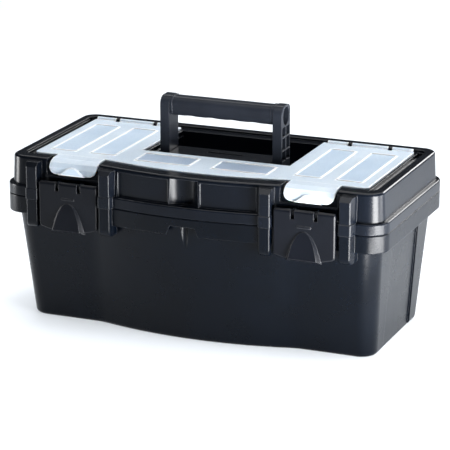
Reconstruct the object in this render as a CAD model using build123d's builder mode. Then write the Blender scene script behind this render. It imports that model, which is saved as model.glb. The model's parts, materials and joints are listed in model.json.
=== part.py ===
"""Carpenter's toolbox: bowed tub, hinged lid with an organiser, folding handle, two latches and a tray.

Millimetres. X runs along the length, -Y is the front with the latches, +Z is up.
The origin is the centre of the flat floor that the box stands on.
"""
from build123d import *
import os

os.makedirs("parts", exist_ok=True)

# ---------------------------------------------------------------- driving dimensions
overall_length = 460.0
rim_front = -111.5          # front edge of the rims beside the bow
rim_back = 111.5
rim_corner = 23.0
front_bow = 15.0            # how far the middle of the front swells out
bow_half_chord = 120.0
bow_blend = 60.0            # radius that eases the bow into the flat stretches
wall = 2.6

# heights
floor_thickness = 3.0
skirt_bottom = 130.0
seam = 150.5
seam_gap = 0.3
flange_top = 163.8
lid_top = 196.4

# tub, at the floor and at the seam
floor_length = 421.4
floor_front = -84.0
floor_corner = 19.0
floor_bow = 17.0
floor_edge = 5.0
tub_length = 443.0
tub_front = -105.0
tub_corner = 21.0
end_panel_half = 47.0       # half width of the sunk panel on each end
end_panel_sink = 2.2
tongue_thickness = 2.0
tongue_height = 3.0

# lid body above its flange
lid_length = 450.0
lid_front = -106.8
lid_corner = 18.5
lid_draft = 2.8
lid_wall = 4.2              # thicker than the tub, because its front carries sunk panels

# organiser: recess, cover and pockets
recess_floor = 193.5
recess_half = 213.0
recess_front = -89.0
recess_back = 92.0
recess_bow = 14.0
recess_chord = 112.0
gutter_inner = 204.0        # drain channel at each end of the recess
gutter_outer = 212.0
gutter_depth = 4.0
cover_bottom = recess_floor + 0.3
cover_top = cover_bottom + 2.8
cover_half = 202.0
cover_front = -82.5
cover_gap_half = 90.5       # half width of the cut-out round the handle
cover_gap_front = -29.5
cover_axis_y = 82.0
cover_axis_z = cover_bottom + 2.8
cover_barrel = 2.8
cover_pin = 1.0
cover_ear_x = (123.5, 172.5)
cover_ear = 4.0
cover_barrel_half = 51.5    # half length of each barrel along the back edge
cover_bore_half = 40.0
pocket_floor = 166.0
wing_inner = 98.0
wing_outer = 198.0
wing_front = -75.0
wing_back = 73.0
strip_half = 88.0
strip_front = -84.0
strip_back = -36.0
strip_bow = 9.0
divider = 1.8

# cover tabs and the lid notches under them
bay_x = 142.5               # centre of each latch and tab
tab_half = 29.5
tab_foot = 180.5
notch_half = 33.0
notch_floor = 178.0

# handle and its well
well_half = 86.0
well_front = -25.0
well_back = 79.0
well_floor = 165.0
ledge_half = 62.6
ledge_back = 14.0
arm_inner = 63.6
arm_outer = 75.1
arm_front = -14.5
arm_back = 12.5
handle_top = 258.5
handle_round = 10.0
grip_bottom = 235.5
grip_low, grip_high = 235.4, 256.7   # hollow mouth of the grip in each arm
pivot_y = -2.0
pivot_z = 180.0
pivot_radius = 3.0

# latches
latch_half = 36.0
latch_front = -121.5
latch_plate = 4.5
latch_bottom = 122.0        # at its sides; the lower edge bows down to the foot
latch_foot = 116.0
latch_top = 174.0
latch_axis_y = -114.2
latch_axis_z = 169.5
latch_barrel = 3.4
latch_pin = 1.5
latch_pin_half = 30.0
latch_bore_half = 35.0
wedge_half = 21.5
wedge_crown = 151.5
wedge_reach = 7.0
wedge_draft = 28.0
latch_slot_x = 13.5
latch_slot = 4.4
latch_ear = 3.0
latch_top_round = 3.4

# pilasters beside each latch: centre, width, front face
pilasters = ((95.5, 16.0, -124.0), (190.0, 16.0, -120.5))
pilaster_slope = 3.0        # the side away from the latch leans in by this much
pilaster_slope_depth = 9.0  # over this depth
pilaster_foot_z = 117.0
pilaster_head_z = 193.5

# rear hinges
knuckle = 6.5
hinge_y = -rim_front + front_bow - knuckle
hinge_x = 130.0
hinge_pin = 2.0
knuckle_step = 18.0
hinge_pin_half = 27.0
hinge_bore_half = 40.0

# padlock eye
eye_y = -120.0
eye_radius = 4.0
eye_groove = 4.6            # radius of the shackle groove below the eye
eye_half = 12.0
eye_bottom = 141.0
eye_relief = 120.0          # foot of the groove that clears a shackle below the eye

# sunk panels and scallop of the lid front
panel_end = -104.0
panel_middle = -119.2
panel_inner = 19.0
panel_outer = 84.0
panel_top = 191.8
scallop_top = 193.6
scallop_y = -131.0
scallop_radius = 20.0

# tote tray
tray_bottom = 100.0
tray_top = 140.0
tray_spine = 151.0
tray_ledge = 118.0

running = 0.06              # radial clearance of a turning joint
held = 0.02                 # radial clearance of a pin in the part that holds it
sides = {"left": -1, "right": 1}


# ---------------------------------------------------------------- shared shapes
def bowed_outline(length, front, back, corner, bow, chord=bow_half_chord):
    """Rounded rectangle between two Y lines, its front edge swelling out in a shallow arc."""
    half = length / 2
    with BuildSketch(mode=Mode.PRIVATE) as outline:
        with BuildLine():
            Polyline(
                (chord, front), (half, front), (half, back), (-half, back), (-half, front), (-chord, front)
            )
            ThreePointArc((-chord, front), (0, front - bow), (chord, front))
        make_face()
        fillet(outline.vertices().filter_by(lambda v: abs(v.X) > half - 1), corner)
        fillet(outline.vertices().filter_by(lambda v: abs(abs(v.X) - chord) < 1), bow_blend)
    return outline.sketch


def block(x_low, x_high, y_low, y_high, z_low, z_high):
    """Plain box between the given corners."""
    with BuildPart(Plane.XY.offset(z_low), mode=Mode.PRIVATE) as solid:
        with Locations(((x_low + x_high) / 2, (y_low + y_high) / 2)):
            Box(
                x_high - x_low,
                y_high - y_low,
                z_high - z_low,
                align=(Align.CENTER, Align.CENTER, Align.MIN),
            )
    return solid.part


def rod(x_low, x_high, y, z, radius):
    """Cylinder along X."""
    with BuildPart(mode=Mode.PRIVATE) as solid:
        with BuildSketch(Plane.YZ.offset(x_low)):
            with Locations((y, z)):
                Circle(radius)
        extrude(amount=x_high - x_low)
    return solid.part


def side_prism(x_low, x_high, points):
    """Polygon of (y, z) points drawn out along X."""
    with BuildPart(mode=Mode.PRIVATE) as solid:
        with BuildSketch(Plane.YZ.offset(x_low)):
            with BuildLine():
                Polyline(*points, close=True)
            make_face()
        extrude(amount=x_high - x_low)
    return solid.part


def span(x, side, half):
    """X limits of a feature centred at x on the given side."""
    return side * x - half, side * x + half


def tub_half_length(z):
    """Half length of the tub's outer wall at height z."""
    return floor_length / 2 + (tub_length - floor_length) / 2 * z / seam


# ---------------------------------------------------------------- tub
def pilaster_block(x, width, front, back, low, high):
    """Length of pilaster: upright on the side of the latch, leaning in on the side away from it."""
    away = 1 if x > bay_x or -bay_x < x < 0 else -1
    far_side = x + away * width / 2
    near_side = x - away * width / 2
    with BuildPart(mode=Mode.PRIVATE) as post:
        with BuildSketch(Plane.XY.offset(low)):
            with BuildLine():
                Polyline(
                    (near_side, front),
                    (near_side, back),
                    (far_side, back),
                    (far_side, front + pilaster_slope_depth),
                    (far_side - away * pilaster_slope, front),
                    close=True,
                )
            make_face()
        extrude(amount=high - low)
    return post.part


def pilaster_foot(x, width, front):
    """Lower segment of a pilaster, rounded where it dies into the tub wall."""
    with BuildPart(mode=Mode.PRIVATE) as foot:
        add(pilaster_block(x, width, front, -98, pilaster_foot_z, seam - 0.2))
        fillet(foot.edges().filter_by(Axis.X).group_by(Axis.Z)[0].sort_by(Axis.Y)[0], 8)
        fillet(foot.edges().filter_by(Axis.Z).sort_by(Axis.Y)[:2], 2.2)
        with BuildSketch(Plane.XZ.offset(98)):
            with Locations((x, pilaster_foot_z + 40)):
                RectangleRounded(width, 80, 4)
        extrude(amount=40, mode=Mode.INTERSECT)
    return foot.part


with BuildPart() as base_tub:
    # turned-down rim
    with BuildSketch(Plane.XY.offset(skirt_bottom)):
        add(bowed_outline(overall_length, rim_front, rim_back, rim_corner, front_bow))
    extrude(amount=seam - skirt_bottom)
    fillet(base_tub.edges().group_by(Axis.Z)[-1], 1.0)
    fillet(base_tub.edges().group_by(Axis.Z)[0], 1.2)
    with BuildSketch(Plane.XY.offset(skirt_bottom)):
        add(
            bowed_outline(
                overall_length - 2 * wall, rim_front + wall, rim_back - wall, rim_corner - wall, front_bow
            )
        )
    extrude(amount=seam - skirt_bottom - wall, mode=Mode.SUBTRACT)

    # tapering tub with a rounded floor edge
    with BuildSketch(Plane.XY):
        add(bowed_outline(floor_length, floor_front, -floor_front, floor_corner, floor_bow))
    with BuildSketch(Plane.XY.offset(seam - 1)):
        add(bowed_outline(tub_length, tub_front, -tub_front, tub_corner, front_bow))
    loft(ruled=True)
    fillet(base_tub.edges().filter_by_position(Axis.Z, -0.1, 0.1), floor_edge)

    # sunk panel on each end
    for side in sides.values():
        with BuildSketch(Plane.XZ.offset(-end_panel_half)):
            with BuildLine():
                Polyline(
                    (side * (tub_half_length(0) - end_panel_sink), 0),
                    (side * (tub_half_length(skirt_bottom) - end_panel_sink), skirt_bottom),
                    (side * overall_length / 2, skirt_bottom),
                    (side * overall_length / 2, 0),
                    close=True,
                )
            make_face()
        extrude(amount=2 * end_panel_half, mode=Mode.SUBTRACT)

    for x, width, front in pilasters:
        for side in sides.values():
            add(pilaster_foot(side * x, width, front))

    # solid block for the padlock eye, and the hollow
    add(block(-eye_half, eye_half, rim_front - front_bow + 1, -110, eye_bottom, seam - 0.2))
    with BuildSketch(Plane.XY.offset(floor_thickness)):
        add(
            bowed_outline(
                floor_length - 2 * wall - 2 * end_panel_sink,
                floor_front + wall,
                -floor_front - wall,
                floor_corner - wall,
                floor_bow,
            )
        )
    with BuildSketch(Plane.XY.offset(seam)):
        add(
            bowed_outline(
                tub_length - 2 * wall - 2 * end_panel_sink,
                tub_front + wall,
                -tub_front - wall,
                tub_corner - wall,
                front_bow,
            )
        )
    loft(ruled=True, mode=Mode.SUBTRACT)

    # tongue round the rim, broken at the padlock eye
    with BuildSketch(Plane.XY.offset(seam - 0.5)):
        inner_length = tub_length - 2 * wall - 2 * end_panel_sink
        add(
            bowed_outline(
                inner_length + 2 * tongue_thickness,
                tub_front + wall - tongue_thickness,
                -tub_front - wall + tongue_thickness,
                tub_corner - wall + tongue_thickness,
                front_bow,
            )
        )
        add(
            bowed_outline(inner_length, tub_front + wall, -tub_front - wall, tub_corner - wall, front_bow),
            mode=Mode.SUBTRACT,
        )
        with Locations((0, tub_front - front_bow)):
            Rectangle(2 * eye_half + 2, 30, mode=Mode.SUBTRACT)
    extrude(amount=tongue_height + 0.5)

    # catches, rear hinge knuckles and tray ledges
    bracket = ((110.5, 134), (110.5, 149.3), (hinge_y, seam), (125.2, 146.6))
    for side in sides.values():
        add(block(*span(bay_x, side, 20), rim_front - 3.8, rim_front + 1, 136, 139))
        for step in (-knuckle_step, knuckle_step):
            x_low, x_high = span(hinge_x + step, side, 8)
            add(rod(x_low, x_high, hinge_y, seam, knuckle))
            add(side_prism(x_low, x_high, bracket))
        x_low, x_high = span(hinge_x, side, hinge_bore_half)
        add(rod(x_low, x_high, hinge_y, seam, hinge_pin + held), mode=Mode.SUBTRACT)
        ledge_outer = side * (tub_half_length(tray_ledge) - wall)
        ledge_inner = side * (tub_half_length(tray_ledge) - wall - 10)
        x_low, x_high = sorted((ledge_outer, ledge_inner))
        add(block(x_low, x_high, -60, 60, tray_ledge - 4, tray_ledge))

    # padlock eye, the flared opening in the rim below it and the groove that clears a shackle
    backing = ((-115, eye_relief), (-118.2, seam - 0.2), (-110, seam - 0.2), (-110, eye_relief - 5))
    add(side_prism(-eye_half + 3, eye_half - 3, backing))
    with BuildSketch(Plane.XZ.offset(-rim_front + front_bow - 6)):
        with BuildLine():
            Polyline(
                (-20, skirt_bottom - 1),
                (-15, eye_bottom),
                (15, eye_bottom),
                (20, skirt_bottom - 1),
                close=True,
            )
        make_face()
    extrude(amount=8, mode=Mode.SUBTRACT)
    with Locations((0, eye_y, eye_relief - 6)):
        Cylinder(
            eye_groove,
            eye_bottom - eye_relief + 6,
            align=(Align.CENTER, Align.CENTER, Align.MIN),
            mode=Mode.SUBTRACT,
        )
    with Locations((0, eye_y, eye_bottom - 1)):
        Cylinder(eye_radius, 20, align=(Align.CENTER, Align.CENTER, Align.MIN), mode=Mode.SUBTRACT)


# ---------------------------------------------------------------- lid
lid_bottom = seam + seam_gap
hollow_top = recess_floor - wall


def organiser_pockets(grow, low, high):
    """The two wing pockets and the front strip pocket, grown outwards all round."""
    with BuildPart(mode=Mode.PRIVATE) as pockets:
        with BuildSketch(Plane.XY.offset(low)):
            for side in sides.values():
                with Locations((side * (wing_inner + wing_outer) / 2, (wing_front + wing_back) / 2)):
                    RectangleRounded(
                        wing_outer - wing_inner + 2 * grow, wing_back - wing_front + 2 * grow, 6 + grow
                    )
            add(
                bowed_outline(
                    2 * (strip_half + grow),
                    strip_front - grow,
                    strip_back + grow,
                    4 + grow,
                    strip_bow,
                    strip_half - 14,
                )
            )
        extrude(amount=high - low)
    return pockets.part


def pilaster_head(x, width, front):
    """Upper segment of a pilaster with a bevelled top, and the wider band on the flange."""
    with BuildPart(mode=Mode.PRIVATE) as head:
        add(pilaster_block(x, width, front, -104, flange_top - 1, pilaster_head_z))
        top_front = head.edges().filter_by(Axis.X).group_by(Axis.Z)[-1].sort_by(Axis.Y)[0]
        chamfer(top_front, 5)
        fillet(head.edges().filter_by(Axis.Z).sort_by(Axis.Y)[:2], 2.2)
    with BuildPart(mode=Mode.PRIVATE) as band:
        add(pilaster_block(x, width + 1.6, front - 1, -112, lid_bottom, flange_top))
        chamfer(band.edges().filter_by(Axis.X).group_by(Axis.Z)[-1].sort_by(Axis.Y)[0], 0.8)
        fillet(band.edges().filter_by(Axis.Z).sort_by(Axis.Y)[:2], 2.4)
    return head.part + band.part


with BuildPart() as lid_shell:
    # flange, then the drafted body
    with BuildSketch(Plane.XY.offset(lid_bottom)):
        add(bowed_outline(overall_length, rim_front, rim_back, rim_corner, front_bow))
    extrude(amount=flange_top - lid_bottom)
    fillet(lid_shell.edges().group_by(Axis.Z)[-1], 2.0)
    fillet(lid_shell.edges().group_by(Axis.Z)[0], 1.0)
    with BuildSketch(Plane.XY.offset(flange_top - 0.5)):
        add(bowed_outline(lid_length, lid_front, -lid_front, lid_corner, front_bow))
    extrude(amount=lid_top - flange_top + 0.5, taper=lid_draft)
    fillet(lid_shell.edges().group_by(Axis.Z)[-1], 3.2)

    # recess for the cover
    with BuildSketch(Plane.XY.offset(recess_floor)):
        add(bowed_outline(2 * recess_half, recess_front, recess_back, 9, recess_bow, recess_chord))
    extrude(amount=lid_top, mode=Mode.SUBTRACT)
    chamfer(lid_shell.faces().sort_by(Axis.Z)[-1].inner_wires()[0].edges(), 0.8)

    # sunk front panels that follow the bow
    for side in sides.values():
        with BuildSketch(Plane.XY.offset(flange_top)) as panel:
            with BuildLine():
                ThreePointArc((-bow_half_chord, panel_end), (0, panel_middle), (bow_half_chord, panel_end))
                Line((bow_half_chord, panel_end), (0, panel_middle - 60))
                Line((0, panel_middle - 60), (-bow_half_chord, panel_end))
            make_face()
            with Locations((side * (panel_inner + panel_outer) / 2, panel_middle)):
                Rectangle(panel_outer - panel_inner, 60, mode=Mode.INTERSECT)
            fillet(panel.vertices().filter_by(lambda v: v.Y > -125), 2)
        extrude(amount=panel_top - flange_top, mode=Mode.SUBTRACT)

    # hollow underside
    with BuildSketch(Plane.XY.offset(lid_bottom)):
        add(
            bowed_outline(
                overall_length - 2 * wall, rim_front + wall, rim_back - wall, rim_corner - wall, front_bow
            )
        )
    extrude(amount=flange_top - wall - lid_bottom, mode=Mode.SUBTRACT)
    with BuildSketch(Plane.XY.offset(lid_bottom)):
        add(
            bowed_outline(
                lid_length - 2 * lid_wall,
                lid_front + lid_wall,
                -lid_front - lid_wall,
                lid_corner - lid_wall,
                front_bow,
            )
        )
    extrude(amount=hollow_top - lid_bottom, mode=Mode.SUBTRACT)

    # drain channels at the ends of the recess, thickened from below
    for side in sides.values():
        x_low, x_high = sorted((side * (gutter_inner - wall), side * (gutter_outer + wall)))
        under = recess_floor - gutter_depth - wall
        add(block(x_low, x_high, recess_front + 2, recess_back + wall, under, hollow_top + 0.5))
        x_low, x_high = sorted((side * gutter_inner, side * gutter_outer))
        add(
            block(x_low, x_high, recess_front + 5, recess_back - 4, recess_floor - gutter_depth, lid_top),
            mode=Mode.SUBTRACT,
        )

    # walls of the pockets and of the handle well, and the shelves under the tabs
    add(organiser_pockets(wall, pocket_floor - wall, hollow_top + 0.5))
    add(
        block(
            -well_half - wall,
            well_half + wall,
            well_front - wall,
            well_back + wall,
            well_floor - wall,
            hollow_top + 0.5,
        )
    )
    for side in sides.values():
        add(block(*span(bay_x, side, notch_half + 2), -104.5, -86, notch_floor - wall, hollow_top + 0.5))
        add(block(*span(bay_x, side, notch_half + 1), -108.6, -104, notch_floor - 2, notch_floor))
    add(block(-eye_half, eye_half, rim_front - front_bow + 1, -110, lid_bottom, flange_top - 0.5))
    add(block(-19, 19, -118, scallop_y + scallop_radius + wall, flange_top - wall, hollow_top + 0.5))

    # pockets and well
    add(organiser_pockets(0, pocket_floor, lid_top), mode=Mode.SUBTRACT)
    with BuildSketch(Plane.XY.offset(well_floor)):
        with Locations((0, (well_front + well_back) / 2)):
            Rectangle(2 * well_half, well_back - well_front)
        with Locations((0, (well_front + ledge_back) / 2)):
            Rectangle(2 * ledge_half, ledge_back - well_front, mode=Mode.SUBTRACT)
    extrude(amount=lid_top - well_floor, mode=Mode.SUBTRACT)
    add(
        block(
            -ledge_half + wall,
            ledge_half - wall,
            well_front + wall,
            ledge_back - wall,
            well_floor - wall - 1,
            recess_floor - wall,
        ),
        mode=Mode.SUBTRACT,
    )

    # padlock scallop down the middle of the front
    with Locations((0, scallop_y, flange_top)):
        Cylinder(
            scallop_radius,
            scallop_top - flange_top,
            align=(Align.CENTER, Align.CENTER, Align.MIN),
            mode=Mode.SUBTRACT,
        )

    # shallow slot in the ledge and rebated sides of the well
    with BuildSketch(Plane.XY.offset(recess_floor - wall / 2)):
        with Locations((0, 0.5)):
            SlotOverall(44, 4)
    extrude(amount=10, mode=Mode.SUBTRACT)
    for side in sides.values():
        x_low, x_high = sorted((side * well_half, side * (well_half + wall / 2)))
        add(block(x_low, x_high, well_front, well_back, recess_floor - 6, lid_top), mode=Mode.SUBTRACT)

    # notches for the cover's tabs
    notch = ((-86, 198), (-86, 193.2), (-95.3, 192.7), (-101.2, 190.2), (-104.2, 186), (-105.4, notch_floor))
    for side in sides.values():
        x_low, x_high = span(bay_x, side, notch_half)
        add(side_prism(x_low, x_high, notch + ((-118, notch_floor), (-118, 198))), mode=Mode.SUBTRACT)

    for x, width, front in pilasters:
        for side in sides.values():
            add(pilaster_head(side * x, width, front))

    # latch ears, rear knuckles and the ears of the cover hinge
    ear = ((-105, 163), (-105, 173.6), (-113, 173.6), (-117.8, 171.5), (-117.8, 167.5), (-113, 163))
    bracket = ((110.5, 152), (110.5, 162), (hinge_y, 157), (hinge_y, seam), (114.5, 152))
    for side in sides.values():
        for step in (-latch_slot_x, latch_slot_x):
            x_low, x_high = span(side * bay_x + step, 1, latch_ear / 2)
            add(side_prism(x_low, x_high, ear))
        x_low, x_high = span(bay_x, side, latch_pin_half)
        add(rod(x_low, x_high, latch_axis_y, latch_axis_z, latch_pin + held), mode=Mode.SUBTRACT)
        x_low, x_high = span(hinge_x, side, 9)
        add(rod(x_low, x_high, hinge_y, seam, knuckle))
        add(side_prism(x_low, x_high, bracket))
        x_low, x_high = span(hinge_x, side, hinge_bore_half)
        add(rod(x_low, x_high, hinge_y, seam, hinge_pin + running), mode=Mode.SUBTRACT)
        for ear_x in cover_ear_x:
            x_low, x_high = span(ear_x, side, cover_ear / 2)
            add(rod(x_low, x_high, cover_axis_y, cover_axis_z, cover_barrel - 0.2))
            add(
                block(
                    x_low,
                    x_high,
                    cover_axis_y - cover_barrel + 0.2,
                    cover_axis_y + cover_barrel - 0.2,
                    recess_floor - 1,
                    cover_axis_z,
                )
            )
        x_low, x_high = span(sum(cover_ear_x) / 2, side, cover_bore_half)
        add(rod(x_low, x_high, cover_axis_y, cover_axis_z, cover_pin + held), mode=Mode.SUBTRACT)
        x_low, x_high = sorted((side * 59, side * 90))
        add(rod(x_low, x_high, pivot_y, pivot_z, pivot_radius + held), mode=Mode.SUBTRACT)

    # guide ribs for the loose dividers
    for side in sides.values():
        middle = side * (wing_inner + wing_outer) / 2
        for step in (-1, 1):
            rib = middle + step * (divider / 2 + 0.2 + 0.8)
            for y_low, y_high in ((wing_front - 0.5, wing_front + 3), (wing_back - 3, wing_back + 0.5)):
                add(block(rib - 0.8, rib + 0.8, y_low, y_high, pocket_floor - 0.5, pocket_floor + 22))

    # padlock eye
    with Locations((0, eye_y, lid_bottom - 1)):
        Cylinder(eye_radius, 15, align=(Align.CENTER, Align.CENTER, Align.MIN), mode=Mode.SUBTRACT)


# ---------------------------------------------------------------- organiser cover
def panel_ridge(x, y, width, depth):
    """Thin raised frame that borders a panel of the cover."""
    with BuildPart(mode=Mode.PRIVATE) as ridge:
        with BuildSketch(Plane.XY.offset(cover_top - 0.3)):
            with Locations((x, y)):
                RectangleRounded(width, depth, 5)
                RectangleRounded(width - 3.2, depth - 3.2, 3.6, mode=Mode.SUBTRACT)
        extrude(amount=1.1)
    return ridge.part


tab_outer = ((-82.5, cover_top), (-96, 196.0), (-103.5, 193.0), (-107.6, 187.5), (-109.0, 180.5))
tab_inner = ((-106.6, 180.7), (-105.4, 187.0), (-102.0, 191.0), (-95.6, 193.5), (-82.5, cover_bottom))


def cover_tab(x):
    """Tab that curls over the lid's front edge, with rounded lower corners and a thumb bulge."""
    with BuildPart(mode=Mode.PRIVATE) as tab:
        add(side_prism(x - tab_half, x + tab_half, tab_outer + tab_inner))
        with BuildSketch(Plane.XZ.offset(80)):
            with Locations((x, tab_foot + 30)):
                RectangleRounded(2 * tab_half, 60, 9)
        extrude(amount=40, mode=Mode.INTERSECT)
        with BuildSketch(Plane.XZ.offset(107)):
            with BuildLine():
                Line((x - 17, tab_foot), (x + 17, tab_foot))
                Bezier((x + 17, tab_foot), (x + 9, tab_foot + 1), (x + 9, tab_foot + 8), (x, tab_foot + 8.5))
                Bezier((x, tab_foot + 8.5), (x - 9, tab_foot + 8), (x - 9, tab_foot + 1), (x - 17, tab_foot))
            make_face()
        extrude(amount=8)
        bulge = ((-108.6, tab_foot + 10), (-112.0, tab_foot - 1), (-130, tab_foot - 1), (-130, tab_foot + 10))
        add(side_prism(x - 20, x + 20, bulge), mode=Mode.SUBTRACT)
    return tab.part


with BuildPart() as organiser_cover:
    with BuildSketch(Plane.XY.offset(cover_bottom)):
        add(bowed_outline(2 * cover_half, cover_front, cover_axis_y, 5, recess_bow, recess_chord - 2))
        with Locations((0, (cover_gap_front + cover_axis_y + 10) / 2)):
            Rectangle(2 * cover_gap_half, cover_axis_y + 10 - cover_gap_front, mode=Mode.SUBTRACT)
    extrude(amount=cover_top - cover_bottom)
    fillet(organiser_cover.edges().group_by(Axis.Z)[-1], 0.9)
    for side in sides.values():
        add(cover_tab(side * bay_x))
        x_low, x_high = span(sum(cover_ear_x) / 2, side, cover_barrel_half)
        add(rod(x_low, x_high, cover_axis_y, cover_axis_z, cover_barrel))
    for side in sides.values():
        for ear_x in cover_ear_x:
            x_low, x_high = span(ear_x, side, cover_ear / 2 + 0.8)
            slot = block(x_low, x_high, cover_axis_y - 6, cover_axis_y + 6, recess_floor, lid_top + 9)
            add(slot, mode=Mode.SUBTRACT)
        x_low, x_high = span(sum(cover_ear_x) / 2, side, cover_bore_half)
        add(rod(x_low, x_high, cover_axis_y, cover_axis_z, cover_pin + running), mode=Mode.SUBTRACT)
        add(panel_ridge(side * 125, -4.5, 32, 122))
        add(panel_ridge(side * 174, -4.5, 32, 122))
        add(panel_ridge(side * 47, -58, 68, 34))


# ---------------------------------------------------------------- latches
def make_latch(side):
    """Draw latch: a slotted plate with a barrel at its top, a thumb wedge and a hook behind."""
    x = side * bay_x
    back = latch_front + latch_plate
    foot = latch_foot
    with BuildPart() as latch:
        # plate with a bowed lower edge
        with BuildSketch(Plane.XZ.offset(-back)):
            with BuildLine():
                Polyline(
                    (x - latch_half, latch_bottom),
                    (x - latch_half, latch_top),
                    (x + latch_half, latch_top),
                    (x + latch_half, latch_bottom),
                )
                ThreePointArc((x + latch_half, latch_bottom), (x, foot), (x - latch_half, latch_bottom))
            make_face()
        extrude(amount=latch_plate)
        fillet(latch.edges().filter_by(Axis.Y).group_by(Axis.Z)[0], 4)
        fillet(latch.edges().filter_by(Axis.X).group_by(Axis.Z)[-1].sort_by(Axis.Y)[0], latch_top_round)
        chamfer(latch.faces().sort_by(Axis.Y)[0].edges().sort_by(Axis.Z)[:-1], 1.2)
        # thumb wedge with leaning sides, standing out further towards its foot
        with BuildSketch(Plane.XZ.offset(-latch_front - 1)):
            with BuildLine():
                Line((x - wedge_half, foot), (x + wedge_half, foot))
                Bezier((x + wedge_half, foot), (x + wedge_half - 9, wedge_crown), (x, wedge_crown))
                Bezier((x, wedge_crown), (x - wedge_half + 9, wedge_crown), (x - wedge_half, foot))
            make_face()
        extrude(amount=9.5, taper=wedge_draft)
        trim = (
            (latch_front - 0.4, wedge_crown + 2),
            (latch_front - wedge_reach, foot - 1),
            (latch_front - 30, foot - 1),
            (latch_front - 30, wedge_crown + 2),
        )
        add(side_prism(x - 30, x + 30, trim), mode=Mode.SUBTRACT)
        # barrel, hook and slots for the ears
        add(rod(x - 31, x + 31, latch_axis_y, latch_axis_z, latch_barrel))
        add(block(x - 18, x + 18, back - 0.5, back + 1.1, 131, 134.6))
        for step in (-latch_slot_x, latch_slot_x):
            x_low, x_high = span(x + step, 1, latch_slot / 2)
            add(block(x_low, x_high, latch_front - 5, -105, 163.5, 180), mode=Mode.SUBTRACT)
        bore = rod(
            x - latch_bore_half, x + latch_bore_half, latch_axis_y, latch_axis_z, latch_pin + running
        )
        add(bore, mode=Mode.SUBTRACT)
        # small blank bar above the wedge
        add(block(x - 8, x + 8, latch_front - 0.5, latch_front + 0.5, 154.5, 157))
    return latch.part


# ---------------------------------------------------------------- handle
def arm_profile():
    """Side outline of a handle arm, with Y drawn along x and Z along y."""
    half = (arm_back - arm_front) / 2
    middle = (arm_front + arm_back) / 2
    with BuildSketch(mode=Mode.PRIVATE) as profile:
        with BuildLine():
            Polyline(
                (arm_front, pivot_z), (arm_front, handle_top), (arm_back, handle_top), (arm_back, pivot_z)
            )
            ThreePointArc((arm_back, pivot_z), (middle, pivot_z - half), (arm_front, pivot_z))
        make_face()
        fillet(profile.vertices().group_by(Axis.Y)[-1].sort_by(Axis.X)[0], handle_round)
        fillet(profile.vertices().filter_by(lambda v: v.X > arm_back - 1 and v.Y > handle_top - 1), 7)
    return profile.sketch


def make_arm(side):
    """Handle arm, cored from its outer face with a web and ribs, open into the grip."""
    inner = side * arm_inner
    outer = side * arm_outer
    core = side * (arm_outer - 8.5)
    with BuildPart() as arm:
        with BuildSketch(Plane.YZ.offset(min(inner, outer))):
            add(arm_profile())
        extrude(amount=arm_outer - arm_inner)
        fillet(arm.edges().group_by(Axis.X)[0], 0.9)
        fillet(arm.edges().group_by(Axis.X)[-1], 0.9)
        # cored cells on both sides of the web
        x_low, x_high = sorted((core, outer + side))
        middle = (arm_front + arm_back) / 2
        for y_low, y_high in ((arm_front + 1.8, middle - 0.8), (middle + 0.8, arm_back - 1.8)):
            for z_low, z_high in ((195.0, 206.0), (207.6, 221.5), (223.1, 234.0)):
                add(block(x_low, x_high, y_low, y_high, z_low, z_high), mode=Mode.SUBTRACT)
        # mouth of the hollow grip
        with BuildSketch(Plane.YZ.offset(min(inner, outer) - 1)):
            with Locations((middle, (grip_low + grip_high) / 2)):
                RectangleRounded(18, grip_high - grip_low, 8.9)
        extrude(amount=arm_outer - arm_inner + 2, mode=Mode.SUBTRACT)
        x_low, x_high = sorted((inner - side, outer + side))
        add(rod(x_low, x_high, pivot_y, pivot_z, pivot_radius + running), mode=Mode.SUBTRACT)
    return arm.part


with BuildPart() as handle_grip:
    middle = (arm_front + arm_back) / 2
    with BuildSketch(Plane.YZ.offset(-arm_inner)):
        with Locations((middle, (grip_bottom + handle_top - 0.8) / 2)):
            RectangleRounded(23.4, handle_top - 0.8 - grip_bottom, 8)
    extrude(amount=2 * arm_inner)
    # finger waves under the grip
    for step in range(-2, 2):
        with Locations((step * 26 + 13, middle, grip_bottom - 28.5)):
            Cylinder(30, 40, rotation=(90, 0, 0), mode=Mode.SUBTRACT)
    # end collars
    for side in sides.values():
        x_low, x_high = sorted((side * arm_inner, side * (arm_inner - 3)))
        with BuildSketch(Plane.YZ.offset(x_low)):
            with Locations((middle, (grip_bottom + handle_top) / 2)):
                RectangleRounded(24.6, handle_top - grip_bottom, 8.5)
        extrude(amount=x_high - x_low)
    # hollow core
    with BuildSketch(Plane.YZ.offset(-arm_inner)):
        with Locations((middle, (grip_low + grip_high) / 2)):
            RectangleRounded(16, 15, 6)
    extrude(amount=2 * arm_inner, mode=Mode.SUBTRACT)


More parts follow.
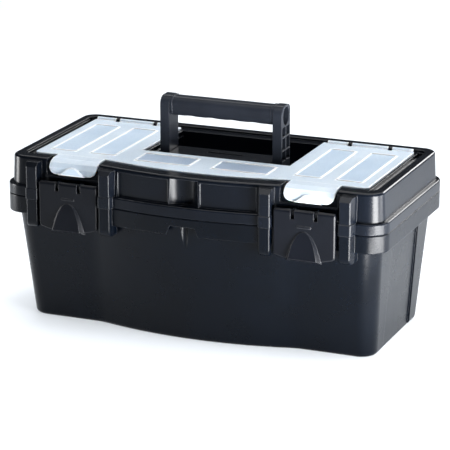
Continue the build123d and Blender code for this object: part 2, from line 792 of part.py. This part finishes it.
# ---------------------------------------------------------------- tote tray and dividers
with BuildPart() as tote_tray:
    with BuildSketch(Plane.XY.offset(tray_bottom)):
        RectangleRounded(400, 156, 12)
    with BuildSketch(Plane.XY.offset(tray_top)):
        RectangleRounded(418, 176, 14)
    loft(ruled=True)
    with BuildSketch(Plane.XY.offset(tray_top - 2.2)):
        RectangleRounded(426, 184, 17)
    extrude(amount=2.2)
    with BuildSketch(Plane.XY.offset(tray_bottom + 2.2)):
        RectangleRounded(395, 151, 10)
    with BuildSketch(Plane.XY.offset(tray_top)):
        RectangleRounded(413, 171, 12)
    loft(ruled=True, mode=Mode.SUBTRACT)
    # spine with a hand hole, and cross walls
    add(block(-203, 203, -1.5, 1.5, tray_bottom + 1, tray_top - 4))
    with BuildSketch(Plane.XZ.offset(-3)):
        with Locations((0, (tray_bottom + tray_spine) / 2 + 1)):
            RectangleRounded(140, tray_spine - tray_bottom - 2, 14)
    extrude(amount=6)
    with BuildSketch(Plane.XZ.offset(-4)):
        with Locations((0, tray_spine - 14)):
            SlotOverall(96, 20)
    extrude(amount=8, mode=Mode.SUBTRACT)
    for x in (-100, 100):
        add(block(x - 1, x + 1, -80, 80, tray_bottom + 1, tray_top - 6))


def make_divider(x, y_low, y_high):
    """Loose partition standing in a pocket."""
    with BuildPart() as plate:
        with BuildSketch(Plane.YZ.offset(x - divider / 2)):
            with Locations(((y_low + y_high) / 2, pocket_floor + 0.2 + 11.5)):
                RectangleRounded(y_high - y_low, 23, 2)
        extrude(amount=divider)
    return plate.part


# ---------------------------------------------------------------- label and write
pieces = {
    "base_tub": base_tub.part,
    "lid_shell": lid_shell.part,
    "organiser_cover": organiser_cover.part,
    "handle_grip": handle_grip.part,
    "tote_tray": tote_tray.part,
    "strip_divider": make_divider(0, strip_front - strip_bow + 0.6, strip_back - 0.3),
}
for word, side in sides.items():
    pieces[f"latch_{word}"] = make_latch(side)
    pieces[f"latch_pin_{word}"] = rod(*span(bay_x, side, latch_pin_half), latch_axis_y, latch_axis_z, latch_pin)
    pieces[f"hinge_pin_{word}"] = rod(*span(hinge_x, side, hinge_pin_half), hinge_y, seam, hinge_pin)
    x_low, x_high = span(sum(cover_ear_x) / 2, side, 33)
    pieces[f"cover_hinge_pin_{word}"] = rod(x_low, x_high, cover_axis_y, cover_axis_z, cover_pin)
    pieces[f"handle_arm_{word}"] = make_arm(side)
    x_low, x_high = sorted((side * 60, side * 88.4))
    pieces[f"handle_pivot_{word}"] = rod(x_low, x_high, pivot_y, pivot_z, pivot_radius)
    pieces[f"wing_divider_{word}"] = make_divider(
        side * (wing_inner + wing_outer) / 2, wing_front + 0.4, wing_back - 0.4
    )

for name, piece in pieces.items():
    piece.label = name
    export_step(piece, f"parts/{name}.step")
    print(name, round(piece.volume), len(piece.solids()), piece.is_valid)
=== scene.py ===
"""Looks of the carpenter's toolbox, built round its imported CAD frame. Metres, seconds and radians."""
import json
import math

import bpy
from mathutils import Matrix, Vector

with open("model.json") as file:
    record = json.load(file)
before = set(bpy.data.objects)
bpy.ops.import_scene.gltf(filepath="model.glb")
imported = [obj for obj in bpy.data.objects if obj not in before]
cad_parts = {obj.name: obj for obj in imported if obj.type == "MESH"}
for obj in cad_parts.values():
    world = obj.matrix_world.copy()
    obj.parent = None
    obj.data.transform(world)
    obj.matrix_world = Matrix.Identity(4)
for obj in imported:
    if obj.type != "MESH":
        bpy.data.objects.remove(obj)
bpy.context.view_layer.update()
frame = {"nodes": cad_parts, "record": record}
nodes = frame["nodes"]
MM = 0.001

# ---------------------------------------------------------------- camera, in the photo's direction
AZIMUTH = math.radians(22.43)
ELEVATION = math.radians(16.82)
DISTANCE = 2.785
LOOK_AT = Vector((0, 0, 0.110))
FOCAL_LENGTH = 192.3  # mm
SENSOR_WIDTH = 36.0  # mm
SHIFT_X = -0.0002
SHIFT_Y = -0.0032
CLIP_END = 50

# ---------------------------------------------------------------- studio
FLOOR_REACH = 12.0
FLOOR_COLOR = (0.65, 0.68, 0.72, 1)
FLOOR_GLOW = (0.94, 0.98, 1, 1)
FLOOR_GLOW_STRENGTH = 0.26
ROOM_COLOR = (0.80, 0.88, 1.0, 1)
ROOM_STRENGTH = 0.06

# name, place, point it is aimed at, width and height, radiance of its face
SOFT_BOXES = (
    ("ceiling_box", (0.1, -0.15, 1.9), (0, 0, 0), (2.0, 1.2), 4.8),
    ("far_box", (-0.6, 1.9, 2.2), (-0.6, 1.9, 0), (2.8, 1.6), 4.4),
    ("back_right_box", (0.66, 1.42, 0.80), (0.35, 0.47, 1.38), (0.80, 0.70), 17),
    ("right_box", (0.77, -0.42, 0.11), (0.22, -0.1, 0.12), (0.46, 0.20), 76),
    ("side_box", (0.96, 0.16, 0.10), (0.22, -0.05, 0.14), (0.40, 0.18), 26),
    ("right_table", (0.68, -0.26, 0.012), (0.68, -0.26, 1.0), (0.26, 0.50), 44),
    ("front_table", (0.37, -0.35, 0.012), (0.37, -0.35, 1.0), (0.16, 0.20), 60),
    ("left_box", (-0.80, -0.30, 0.14), (-0.2, -0.1, 0.12), (0.30, 0.24), 24),
)

# ---------------------------------------------------------------- edges and black plastic
# cosine between the rounded and the true normal: where an edge starts to show, and where it is full
EDGE_STARTS = 0.995
EDGE_FULL = 0.9
BEVEL_SAMPLES = 6
PLASTIC_EDGE_RADIUS = 0.9 * MM

# body colour times these in the darkest and the lightest of the mottling
MOTTLE_DARK = 0.82
MOTTLE_LIGHT = 1.25
# colour of an edge lightened partly as rubbed wear and partly as a painted highlight: body colour times
# the gain, plus the lift
RUB_AND_HIGHLIGHT_GAIN = 2.5
RUB_AND_HIGHLIGHT_LIFT = 0.045
# how much of the rubbed colour with its painted highlight an edge shows where it is worn least and most
WEAR_AND_HIGHLIGHT_LEAST = 0.32
WEAR_AND_HIGHLIGHT_MOST = 0.8
GRAIN_DEPTH = 0.05 * MM

# ---------------------------------------------------------------- organiser cover
# thin panels, mirrored in X: centre and half size in mm
PANELS = ((125.0, -4.5, 14.8, 59.8), (174.0, -4.5, 14.8, 59.8), (47.0, -58.0, 32.8, 15.8))
PANEL_FADE = 0.8 * MM
# width of the white ridge round each panel in mm, painted as a highlight
RIDGE_HIGHLIGHT_WIDTH = 2.4
# half width of the strip between the wings, whose panels get a painted see-through shade, the darkness of
# the tray below
MIDDLE_SHADE_HALF = 88.0 * MM
MIDDLE_SHADE_FADE = 1.0 * MM
COVER_EDGE_RADIUS = 2.2 * MM
MILKY_COLORS = ((0.50, 0.585, 0.67, 1), (0.57, 0.65, 0.73, 1))
THIN_COLORS = ((0.43, 0.535, 0.65, 1), (0.50, 0.60, 0.71, 1))
# painted shade: the dark tray seen through the middle strip's thin panels
MIDDLE_SHADE_COLOR = (0.33, 0.41, 0.52, 1)
# painted highlights: white on the panels' ridges and on the cover's edges
RIDGE_HIGHLIGHT_COLOR = (0.93, 0.95, 0.97, 1)
COVER_EDGE_HIGHLIGHT_COLOR = (0.95, 0.97, 0.99, 1)

# ---------------------------------------------------------------- steel pins
STEEL_COLOR = (0.55, 0.56, 0.58, 1)
TARNISH_COLOR = (0.34, 0.33, 0.32, 1)
# noise is stretched along X, the length of every pin
DRAWING_SCALE = (60, 2500, 2500)
DRAWING_DEPTH = 0.02 * MM


# ---------------------------------------------------------------- camera and studio
def add_camera():
    """Camera that looks down on the front right corner of the box through a long lens."""
    data = bpy.data.cameras.new("camera")
    data.lens = FOCAL_LENGTH
    data.sensor_width = SENSOR_WIDTH
    data.shift_x = SHIFT_X
    data.shift_y = SHIFT_Y
    data.clip_end = CLIP_END
    camera = bpy.data.objects.new("camera", data)
    bpy.context.scene.collection.objects.link(camera)
    direction = Vector(
        (
            math.sin(AZIMUTH) * math.cos(ELEVATION),
            -math.cos(AZIMUTH) * math.cos(ELEVATION),
            math.sin(ELEVATION),
        )
    )
    camera.location = LOOK_AT + direction * DISTANCE
    camera.rotation_euler = (-direction).to_track_quat("-Z", "Y").to_euler()
    bpy.context.scene.camera = camera


def soft_box(name, location, target, size, radiance):
    """Rectangular light aimed at a point, unseen by the camera, whose face glows with the radiance."""
    data = bpy.data.lights.new(name, "AREA")
    data.shape = "RECTANGLE"
    data.size, data.size_y = size
    data.energy = radiance * math.pi * size[0] * size[1]
    light = bpy.data.objects.new(name, data)
    bpy.context.scene.collection.objects.link(light)
    light.location = location
    light.visible_camera = False
    light.rotation_euler = (Vector(target) - Vector(location)).to_track_quat("-Z", "Y").to_euler()


def add_floor():
    """Plain pale floor that glows a little, so that it reads white."""
    reach = FLOOR_REACH
    corners = [(-reach, -reach, 0), (reach, -reach, 0), (reach, reach, 0), (-reach, reach, 0)]
    floor_mesh = bpy.data.meshes.new("floor")
    floor_mesh.from_pydata(corners, [], [(0, 1, 2, 3)])
    floor = bpy.data.objects.new("floor", floor_mesh)
    bpy.context.scene.collection.objects.link(floor)
    material, _, shader = new_material("pale_floor")
    set_inputs(
        shader,
        Base_Color=FLOOR_COLOR,
        Roughness=0.9,
        Specular_IOR_Level=0.1,
        Emission_Color=FLOOR_GLOW,
        Emission_Strength=FLOOR_GLOW_STRENGTH,
    )
    floor_mesh.materials.append(material)


def add_studio():
    """Pale floor in a dim room, wide soft boxes above and behind, and low ones at the sides and front."""
    add_floor()
    world = bpy.data.worlds.new("studio")
    bpy.context.scene.world = world
    world.use_nodes = True
    set_inputs(world.node_tree.nodes["Background"], Color=ROOM_COLOR, Strength=ROOM_STRENGTH)
    for box in SOFT_BOXES:
        soft_box(*box)
    bpy.context.scene.view_settings.view_transform = "Standard"


# ---------------------------------------------------------------- material helpers
def new_material(name):
    """New node material: the material, its node tree and its Principled shader."""
    material = bpy.data.materials.new(name)
    material.use_nodes = True
    tree = material.node_tree
    return material, tree, tree.nodes["Principled BSDF"]


def set_inputs(made, **values):
    """Plain values for a node's inputs. An underscore stands for a space in an input's name."""
    for key, value in values.items():
        made.inputs[key.replace("_", " ")].default_value = value


def new_node(tree, kind, **values):
    """New node of a kind, with plain values on its named inputs."""
    made = tree.nodes.new(kind)
    set_inputs(made, **values)
    return made


def feed(tree, value, socket):
    """Feed an input from another node's output, or with a plain number or colour."""
    if isinstance(value, bpy.types.NodeSocket):
        tree.links.new(value, socket)
    else:
        socket.default_value = value


def object_coordinates(tree):
    """Coordinates that stay with the piece when it moves."""
    return tree.nodes.new("ShaderNodeTexCoord").outputs["Object"]


def noise(tree, coordinates, scale, detail, roughness=0.5):
    """Noise texture over the given coordinates."""
    made = new_node(tree, "ShaderNodeTexNoise", Scale=scale, Detail=detail, Roughness=roughness)
    tree.links.new(coordinates, made.inputs["Vector"])
    return made.outputs["Fac"]


def remap(tree, value, low, high, to_low, to_high):
    """Linear remap of a value, clamped."""
    made = new_node(
        tree, "ShaderNodeMapRange", From_Min=low, From_Max=high, To_Min=to_low, To_Max=to_high
    )
    tree.links.new(value, made.inputs["Value"])
    return made.outputs["Result"]


def calculate(tree, operation, *values):
    """Result of a math operation on outputs or plain numbers."""
    made = tree.nodes.new("ShaderNodeMath")
    made.operation = operation
    for slot, value in enumerate(values):
        feed(tree, value, made.inputs[slot])
    return made.outputs[0]


def mix_color(tree, factor, low, high):
    """Mix of two colours, each an output or a plain colour. 0, 6, 7 and 2 are a colour mix's sockets."""
    made = tree.nodes.new("ShaderNodeMix")
    made.data_type = "RGBA"
    feed(tree, factor, made.inputs[0])
    feed(tree, low, made.inputs[6])
    feed(tree, high, made.inputs[7])
    return made.outputs[2]


def band(tree, value, centre, half, fade):
    """1 where a coordinate lies within half of the centre, fading to 0 over the last part of it."""
    gap = calculate(tree, "ABSOLUTE", calculate(tree, "SUBTRACT", value, centre))
    return remap(tree, gap, half - fade, half, 1.0, 0.0)


def edge_mask(tree, radius):
    """1 on convex and concave edges and 0 on flats, with the rounded normal it is measured from."""
    bevel = new_node(tree, "ShaderNodeBevel", Radius=radius)
    bevel.samples = BEVEL_SAMPLES
    rounded = bevel.outputs["Normal"]
    geometry = tree.nodes.new("ShaderNodeNewGeometry")
    cosine = tree.nodes.new("ShaderNodeVectorMath")
    cosine.operation = "DOT_PRODUCT"
    tree.links.new(rounded, cosine.inputs[0])
    tree.links.new(geometry.outputs["Normal"], cosine.inputs[1])
    return remap(tree, cosine.outputs["Value"], EDGE_STARTS, EDGE_FULL, 0.0, 1.0), rounded


def add_bump(tree, shader, height, strength, depth, rounded=None):
    """Fine relief on a shader, over its rounded normal where it has one."""
    bump = new_node(tree, "ShaderNodeBump", Strength=strength, Distance=depth)
    tree.links.new(height, bump.inputs["Height"])
    if rounded is not None:
        tree.links.new(rounded, bump.inputs["Normal"])
    tree.links.new(bump.outputs["Normal"], shader.inputs["Normal"])


# ---------------------------------------------------------------- materials
def moulded_plastic(name, color, roughness, grain=0.25, grain_scale=2600.0, specular=0.14):
    """Satin moulded plastic: fine spark-eroded grain, faint flow mottling, and edges lighter, partly
    rubbed wear and partly a painted highlight.
    """
    material, tree, shader = new_material(name)
    coordinates = object_coordinates(tree)
    mottle = noise(tree, coordinates, 14.0, 5, 0.6)
    fine = noise(tree, coordinates, grain_scale, 2)
    scuff = noise(tree, coordinates, 160.0, 6, 0.7)
    edges, rounded = edge_mask(tree, PLASTIC_EDGE_RADIUS)

    darker = tuple(c * MOTTLE_DARK for c in color) + (1,)
    lighter = tuple(c * MOTTLE_LIGHT for c in color) + (1,)
    # edges lighter: partly rubbed wear, partly a painted highlight standing in for light caught on
    # rounded edges
    rubbed_and_highlight = tuple(c * RUB_AND_HIGHLIGHT_GAIN + RUB_AND_HIGHLIGHT_LIFT for c in color) + (1,)
    body = mix_color(tree, remap(tree, mottle, 0.35, 0.65, 0, 1), darker, lighter)
    wear_and_highlight = calculate(tree, "MULTIPLY", edges, remap(tree, scuff, 0.42, 0.66, WEAR_AND_HIGHLIGHT_LEAST, WEAR_AND_HIGHLIGHT_MOST))
    tree.links.new(mix_color(tree, wear_and_highlight, body, rubbed_and_highlight), shader.inputs["Base Color"])

    uneven = remap(tree, mottle, 0.3, 0.7, roughness - 0.035, roughness + 0.045)
    tree.links.new(uneven, shader.inputs["Roughness"])
    shader.inputs["Specular IOR Level"].default_value = specular
    add_bump(tree, shader, fine, grain, GRAIN_DEPTH, rounded)
    return material


def panel_mask(tree, sideways, lengthways, grow):
    """1 on the cover's thin panels, each grown by some mm on every side."""
    mask = None
    for x, y, half_x, half_y in PANELS:
        across = band(tree, sideways, x * MM, (half_x + grow) * MM, PANEL_FADE)
        along = band(tree, lengthways, y * MM, (half_y + grow) * MM, PANEL_FADE)
        panel = calculate(tree, "MULTIPLY", across, along)
        mask = panel if mask is None else calculate(tree, "MAXIMUM", mask, panel)
    return mask


def milky_plastic(name):
    """Milky polypropylene, blue-grey in its thin panels, with painted see-through shade on the panels of
    the middle strip and painted highlights in white on its ridges and edges.
    """
    material, tree, shader = new_material(name)
    coordinates = object_coordinates(tree)
    axes = tree.nodes.new("ShaderNodeSeparateXYZ")
    tree.links.new(coordinates, axes.inputs[0])
    sideways = calculate(tree, "ABSOLUTE", axes.outputs["X"])
    panels = panel_mask(tree, sideways, axes.outputs["Y"], 0.0)
    ridge_highlight_area = panel_mask(tree, sideways, axes.outputs["Y"], RIDGE_HIGHLIGHT_WIDTH)
    middle_shade = band(tree, sideways, 0.0, MIDDLE_SHADE_HALF, MIDDLE_SHADE_FADE)

    cloud = noise(tree, coordinates, 22.0, 4, 0.55)
    fine = noise(tree, coordinates, 900.0, 3)
    edges, rounded = edge_mask(tree, COVER_EDGE_RADIUS)
    clouding = remap(tree, cloud, 0.35, 0.65, 0, 1)
    milky = mix_color(tree, clouding, *MILKY_COLORS)
    thin = mix_color(tree, clouding, *THIN_COLORS)
    # painted see-through shade darkens the thin panels of the middle strip
    thin = mix_color(tree, middle_shade, thin, MIDDLE_SHADE_COLOR)
    # painted highlight: a white band round each panel on its ridge
    ridge_highlighted = mix_color(tree, ridge_highlight_area, milky, RIDGE_HIGHLIGHT_COLOR)
    body = mix_color(tree, panels, ridge_highlighted, thin)
    # painted highlight: the cover's edges mixed toward white
    tree.links.new(mix_color(tree, edges, body, COVER_EDGE_HIGHLIGHT_COLOR), shader.inputs["Base Color"])
    tree.links.new(remap(tree, fine, 0.3, 0.7, 0.26, 0.36), shader.inputs["Roughness"])
    set_inputs(
        shader,
        Transmission_Weight=0.08,
        IOR=1.49,
        Subsurface_Weight=0.3,
        Subsurface_Radius=(0.004, 0.005, 0.006),
    )
    add_bump(tree, shader, fine, 0.1, GRAIN_DEPTH, rounded)
    return material


def drawn_steel(name):
    """Plain steel rod with drawing marks along it and a little tarnish."""
    material, tree, shader = new_material(name)
    coordinates = object_coordinates(tree)
    stretch = new_node(tree, "ShaderNodeMapping", Scale=DRAWING_SCALE)
    tree.links.new(coordinates, stretch.inputs["Vector"])
    streaks = noise(tree, stretch.outputs["Vector"], 1.0, 3, 0.6)
    tarnish = noise(tree, coordinates, 90.0, 5, 0.6)
    shader.inputs["Metallic"].default_value = 1.0
    tint = mix_color(tree, remap(tree, tarnish, 0.4, 0.7, 0, 1), STEEL_COLOR, TARNISH_COLOR)
    tree.links.new(tint, shader.inputs["Base Color"])
    tree.links.new(remap(tree, streaks, 0.3, 0.7, 0.22, 0.42), shader.inputs["Roughness"])
    add_bump(tree, shader, streaks, 0.2, DRAWING_DEPTH)
    return material


# ---------------------------------------------------------------- dressing the CAD nodes
def dress(name, material):
    """Give a CAD node one material."""
    data = nodes[name].data
    data.materials.clear()
    data.materials.append(material)


def dress_all():
    """Every node takes the finish of its slot."""
    finishes = {
        "tub_plastic": moulded_plastic("tub_plastic", (0.0003, 0.0011, 0.0028), 0.27),
        "lid_plastic": moulded_plastic("lid_plastic", (0.0020, 0.0030, 0.0054), 0.23),
        "latch_plastic": moulded_plastic(
            "latch_plastic", (0.0026, 0.0032, 0.0050), 0.31, grain=0.6, grain_scale=1500.0
        ),
        "handle_plastic": moulded_plastic(
            "handle_plastic", (0.0140, 0.0165, 0.0225), 0.30, specular=0.07
        ),
        "cover_plastic": milky_plastic("cover_plastic"),
        "tray_plastic": moulded_plastic("tray_plastic", (0.02, 0.021, 0.024), 0.4),
        "divider_plastic": moulded_plastic("divider_plastic", (0.02, 0.021, 0.024), 0.4),
        "pin_steel": drawn_steel("pin_steel"),
    }
    for entry in frame["record"]["subparts"]:
        dress(entry["node"], finishes[entry["material_slot"]])


add_camera()
add_studio()
dress_all()
